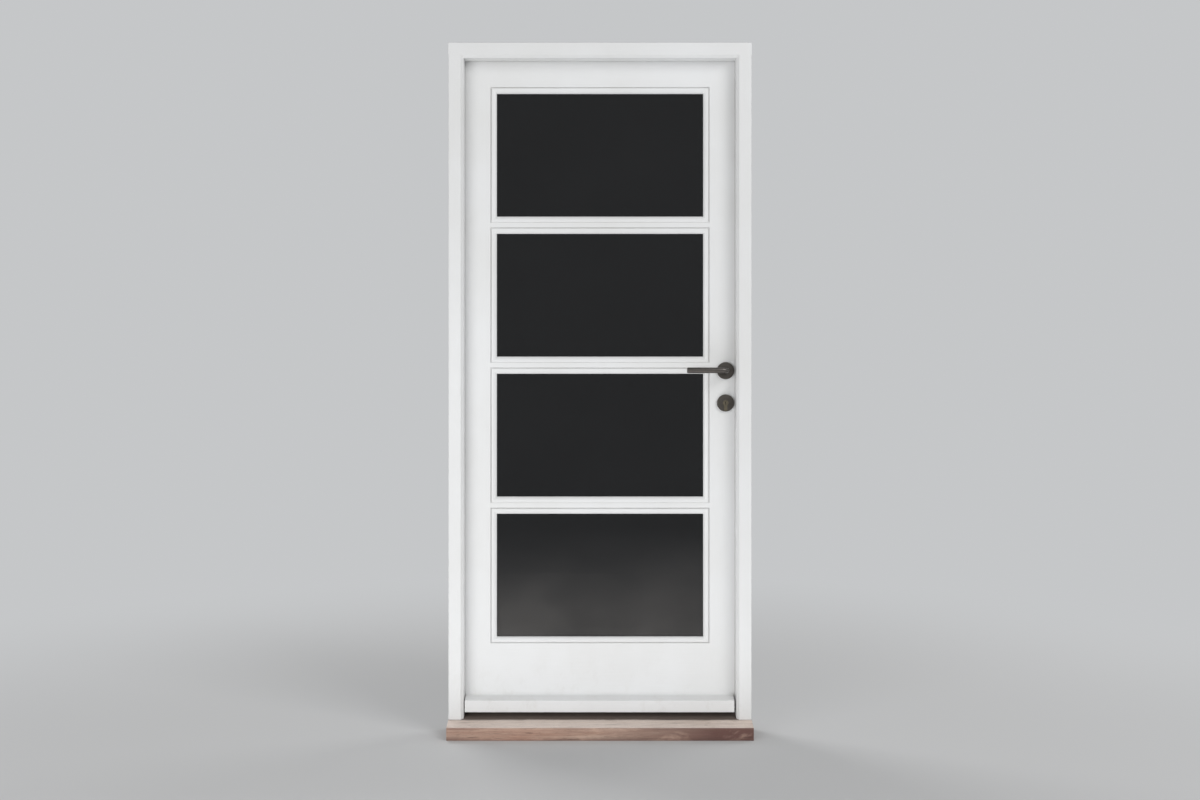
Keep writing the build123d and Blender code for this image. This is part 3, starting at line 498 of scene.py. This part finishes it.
# The leaf's two stiles run its full height, with the rails and glazing bars tenoned and
# glued between them. All are softwood, painted white like the frame.
upright_leaf_paint = white_paint("leaf_paint_upright", "Z")
level_leaf_paint = white_paint("leaf_paint_level", "X")
dress(["stile_hinge_side", "stile_lock_side"], upright_leaf_paint)
dress(["top_rail", "bottom_rail", "weather_bar"], level_leaf_paint)
dress([f"glazing_bar_{number}" for number in (1, 2, 3)], level_leaf_paint)


# Four beads hold each sealed unit from outside: rolled on the face, quirked at the timber,
# mitred and pinned. Paint fills the quirk of each bead that stands on a glazing bar.
light_count = 4
lowest_light = 0.288
light_spacing = 0.426
light_half_width = 0.314
light_half_height = 0.187
bead_width = 0.018
bead_depth = 0.012
bead_front = 0.050
bead_fall = 0.0065
quirk_width = 0.0025
quirk_depth = 0.004
roll_corner = 0.01376
roll_size = 0.0077
bead_ease = 0.0008
near = 0.000001


def round_off(shape, corners, size, segments, affect):
    """Sharp corners turned into arcs."""
    bmesh.ops.bevel(shape, geom=corners, offset=size, segments=segments,
                    profile=0.5, affect=affect, material=-1)


def mitred_bead(half_run, half_span, quirked, turn, middle, finish_number):
    """One bead: its section stands across the run, is rolled, and is drawn out from mitre to mitre."""
    bead = bmesh.new()
    inner = [(bead_width, bead_fall), (bead_width, bead_depth), (0.0, bead_depth)]
    quirk = [(0.0, quirk_depth), (quirk_width, quirk_depth), (quirk_width, 0.0)]
    section = inner + (quirk if quirked else [(0.0, 0.0)]) + [(roll_corner, 0.0)]
    verts = [bead.verts.new((0.0, bead_front + depth, across - half_span)) for across, depth in section]
    bead.faces.new(verts)
    round_off(bead, [verts[-2]], bead_ease, 3, "VERTICES")
    rolled = [vert for vert in bead.verts
              if abs(vert.co.z + half_span - roll_corner) < near and vert.co.y < bead_front + near]
    round_off(bead, rolled, roll_size, 8, "VERTICES")
    for vert in bead.verts:
        vert.co.x = vert.co.z + half_span - half_run
    drawn = bmesh.ops.extrude_face_region(bead, geom=list(bead.faces))["geom"]
    bmesh.ops.scale(bead, vec=(-1.0, 1.0, 1.0), verts=points_of(drawn))
    placed = Matrix.Translation((0.0, 0.0, middle)) @ Matrix.Rotation(math.radians(turn), 4, "Y")
    bmesh.ops.transform(bead, matrix=placed, verts=bead.verts)
    for face in bead.faces:
        face.material_index = finish_number
    return bead


half_width = light_half_width + bead_width
half_height = light_half_height + bead_width
for number in range(1, light_count + 1):
    shape = bmesh.new()
    middle = lowest_light + light_spacing * (light_count - number) + light_half_height
    on_bottom_rail = number == light_count
    for half_run, half_span, quirked, turn, finish_number in (
        (half_width, half_height, on_bottom_rail, 0, 0),
        (half_width, half_height, True, 180, 0),
        (half_height, half_width, True, 90, 1),
        (half_height, half_width, True, -90, 1),
    ):
        bead = mitred_bead(half_run, half_span, quirked, turn, middle, finish_number)
        loose = bpy.data.meshes.new("loose_bead")
        bead.to_mesh(loose)
        bead.free()
        shape.from_mesh(loose)
        bpy.data.meshes.remove(loose)
    finished(f"glazing_beads_{number}", shape, [level_leaf_paint, upright_leaf_paint],
             "leaf", [f"beads_{number}"], merge=False)


# Each light holds a sealed unit: two panes on an aluminium spacer, bedded on tape
# and standing on plastic blocks. The panes are tinted near black, painted shade of a dark room behind.
room_shade_tint = (0.052, 0.055, 0.060, 1)
dust_and_reflection_tone = (0.50, 0.47, 0.44, 1)
dust_and_reflection_heights = (0.62, 0.30)


def shade_tinted_glass(name):
    """Glass tinted near black as painted shade, with dust and a painted reflection thicker low on the door.
    """
    finish, tree, shader = new_finish(name)
    place = put(tree, "TexCoord").outputs["Object"]
    film = stretched_noise(tree, place, (3.4, 3.4, 5.0), 3.0, 0.5, 0.2)
    height = put(tree, "SeparateXYZ", {0: place}).outputs["Z"]
    low_share = limits(tree, height, *dust_and_reflection_heights, 0.10, 1.0)
    # Lighter low on the door: a film of dust, and a painted reflection of the ground.
    dust = times(tree, limits(tree, film, 0.25, 0.75, 0.55, 1.0), low_share)
    colour = mix_tones(tree, times(tree, dust, 0.40), room_shade_tint, dust_and_reflection_tone)
    tree.links.new(colour, shader.inputs["Base Color"])
    tree.links.new(limits(tree, dust, 0.0, 1.0, 1.0, 0.66), shader.inputs["Transmission Weight"])
    shader.inputs["IOR"].default_value = 1.40
    tree.links.new(limits(tree, dust, 0.1, 1.0, 0.0, 0.06), shader.inputs["Roughness"])
    emboss(tree, shader, stretched_noise(tree, place, (2.2, 2.2, 3.1), 1.0), 0.05, 0.002)
    return finish


def moulded_plastic(name, tone, roughness):
    """A plain plastic or foam with a fine grain."""
    finish, tree, shader = new_finish(name)
    place = put(tree, "TexCoord").outputs["Object"]
    grain = stretched_noise(tree, place, (700.0, 700.0, 700.0), 3.0)
    darker = [part * 0.8 for part in tone] + [1]
    tree.links.new(mix_tones(tree, grain, [*tone, 1], darker), shader.inputs["Base Color"])
    shader.inputs["Roughness"].default_value = roughness
    emboss(tree, shader, grain, 0.2, 0.0002)
    return finish


for side in ("outer", "inner"):
    panes = [f"{side}_pane_{number}" for number in range(1, light_count + 1)]
    dress(panes, shade_tinted_glass(side + "_glass"))
dress(["spacer_bars"], plain_metal("spacer_aluminium", (0.60, 0.61, 0.62), 0.38, "X"))
dress(["glazing_tapes"], moulded_plastic("glazing_foam", (0.62, 0.62, 0.60), 0.8))
dress(["setting_blocks"], moulded_plastic("block_plastic", (0.08, 0.16, 0.30), 0.45))


# The bottom seal is a blade of black rubber, pushed into a groove along the underside
# of the leaf to close the gap to the sill.
dress(["bottom_seal"], level_rubber)


# The mortice lock is a plain steel case let into the edge of the stile, with a faceplate,
# a latch bolt, a deadbolt and the follower that the levers' square spindle turns.
dress(["lock_case", "lock_faceplate", "latch_bolt", "deadbolt", "follower", "spindle"], lock_steel)


# The profile cylinder is brass, dulled outdoors, with a turning plug at each end and a cam
# between them. One long screw through the faceplate holds it in the lock.
fixing_spot = (0.419, 0.072, 0.979)
cylinder_brass = plain_metal("dull_brass", (0.170, 0.148, 0.108), 0.40, "Y")
dress(["cylinder_body", "outer_plug", "inner_plug", "cylinder_cam"], cylinder_brass)
shape = bmesh.new()
fixing_screw = crossed_screw(head=0.0048, shank=0.0023, length=0.0428)
drive(shape, fixing_screw, fixing_spot, faces_x=1, turn=20)
finished("cylinder_fixing_screw", shape, [lock_steel], "leaf", ["cylinder_screw"], merge=False)


# The roses are turned bronze discs round the lever necks, screwed to the leaf from behind
# their faces, each with a softly rounded rim and a bore that the neck turns in.
plate_bronze = plain_metal("plate_bronze", (0.104, 0.094, 0.084), 0.36, "Z")
handle_x = 0.381
handle_z = 1.097
leaf_faces = {"outside": (0.050, -1), "inside": (0.094, 1)}
rose_radius = 0.026
rose_thickness = 0.008
rose_bore = 0.0086
rim_round = 0.0018


def ring_in_y(shape, radius, x, y, z, segments=64):
    """A ring of edges that stands across the Y axis."""
    stand = Matrix.Translation((x, y, z)) @ Matrix.Rotation(math.radians(90), 4, "X")
    made = bmesh.ops.create_circle(shape, cap_ends=False, segments=segments, radius=radius, matrix=stand)
    return edges_at(made["verts"])


def edges_of(made):
    """The edges among the parts that a mesh operator made."""
    return [part for part in made if isinstance(part, bmesh.types.BMEdge)]


def draw_out(shape, edges, move):
    """Edges drawn out along a line. Gives the new edges at the far end."""
    made = bmesh.ops.extrude_edge_only(shape, edges=edges)["geom"]
    far_points = points_of(made)
    bmesh.ops.translate(shape, verts=far_points, vec=move)
    return [edge for edge in edges_of(made) if all(end in far_points for end in edge.verts)]


def pierced_disc(shape, hole, face, outwards, height):
    """A disc with a softly rounded rim on a face of the leaf, round the ring of edges of its hole."""
    rise = (0, outwards * rose_thickness, 0)
    outer = ring_in_y(shape, rose_radius, handle_x, face, height)
    bmesh.ops.bridge_loops(shape, edges=outer + hole)
    outer_front = draw_out(shape, outer, rise)
    hole_front = draw_out(shape, hole, rise)
    bmesh.ops.bridge_loops(shape, edges=outer_front + hole_front)
    round_off(shape, outer_front, rim_round, 6, "EDGES")


for side, (face, outwards) in leaf_faces.items():
    shape = bmesh.new()
    bore = ring_in_y(shape, rose_bore, handle_x, face, handle_z)
    pierced_disc(shape, bore, face, outwards, handle_z)
    finished("rose_plate_" + side, shape, [plate_bronze], "leaf", ["rose_" + side])


# The levers are cast bronze, one round bar each: a neck out of the rose, a tight bend
# and a straight grip with an eased end. Each neck is bored for the square spindle.
lever_bronze = plain_metal("lever_bronze", (0.140, 0.128, 0.118), 0.30, "X")
lever_radius = 0.0085
lever_segments = 48
bend_radius = 0.014
lever_reach = 0.0515
grip_length = 0.106
spindle_bore = 0.0058
bore_depth = 0.0325
grip_round = 0.0030

for side, (face, outwards) in leaf_faces.items():
    shape = bmesh.new()
    neck = ring_in_y(shape, lever_radius, handle_x, face, handle_z, lever_segments)
    bore = ring_in_y(shape, spindle_bore, handle_x, face, handle_z, lever_segments)
    bmesh.ops.bridge_loops(shape, edges=neck + bore)
    bore_end = draw_out(shape, bore, (0, outwards * bore_depth, 0))
    bmesh.ops.edgeloop_fill(shape, edges=bore_end)
    neck_length = outwards * (lever_reach - bend_radius)
    neck_end = draw_out(shape, neck, (0, neck_length, 0))
    turning_point = (handle_x - bend_radius, face + neck_length, handle_z)
    bent = bmesh.ops.spin(shape, geom=neck_end, cent=turning_point, axis=(0, 0, 1),
                          angle=outwards * math.radians(90), steps=12, use_merge=False)
    grip_end = draw_out(shape, edges_of(bent["geom_last"]), (-grip_length, 0, 0))
    bmesh.ops.edgeloop_fill(shape, edges=grip_end)
    round_off(shape, grip_end, grip_round, 6, "EDGES")
    finished("lever_handle_" + side, shape, [lever_bronze], "handle", ["lever_" + side])


# The escutcheons are bronze discs like the roses, pressed on round the lock cylinder
# and pierced with its profile: a round hole with a narrower round-footed slot below it.
cylinder_z = 0.999
profile_radius = 0.00875
profile_segments = 60
profile_slot = 0.0052
profile_foot = 0.9795

for side, (face, outwards) in leaf_faces.items():
    shape = bmesh.new()
    ring_in_y(shape, profile_radius, handle_x, face, cylinder_z, profile_segments)
    mouth = [vert for vert in shape.verts
             if vert.co.z < cylinder_z and abs(vert.co.x - handle_x) < profile_slot]
    mouth.sort(key=lambda vert: vert.co.x)
    bmesh.ops.delete(shape, geom=mouth[1:-1], context="VERTS")
    slot_top = bmesh.ops.extrude_vert_indiv(shape, verts=mouth[:1])["verts"]
    bmesh.ops.translate(shape, verts=slot_top, vec=(0, 0, profile_foot - slot_top[0].co.z))
    foot = bmesh.ops.spin(shape, geom=slot_top, cent=(handle_x, face, profile_foot), axis=(0, 1, 0),
                          angle=math.radians(-180), steps=12, use_merge=False)["geom_last"]
    bmesh.ops.contextual_create(shape, geom=points_of(foot) + mouth[-1:])
    pierced_disc(shape, list(shape.edges), face, outwards, cylinder_z)
    stands_for = "escutcheon_" + side
    finished("escutcheon_plate_" + side, shape, [plate_bronze], "leaf", [stands_for])
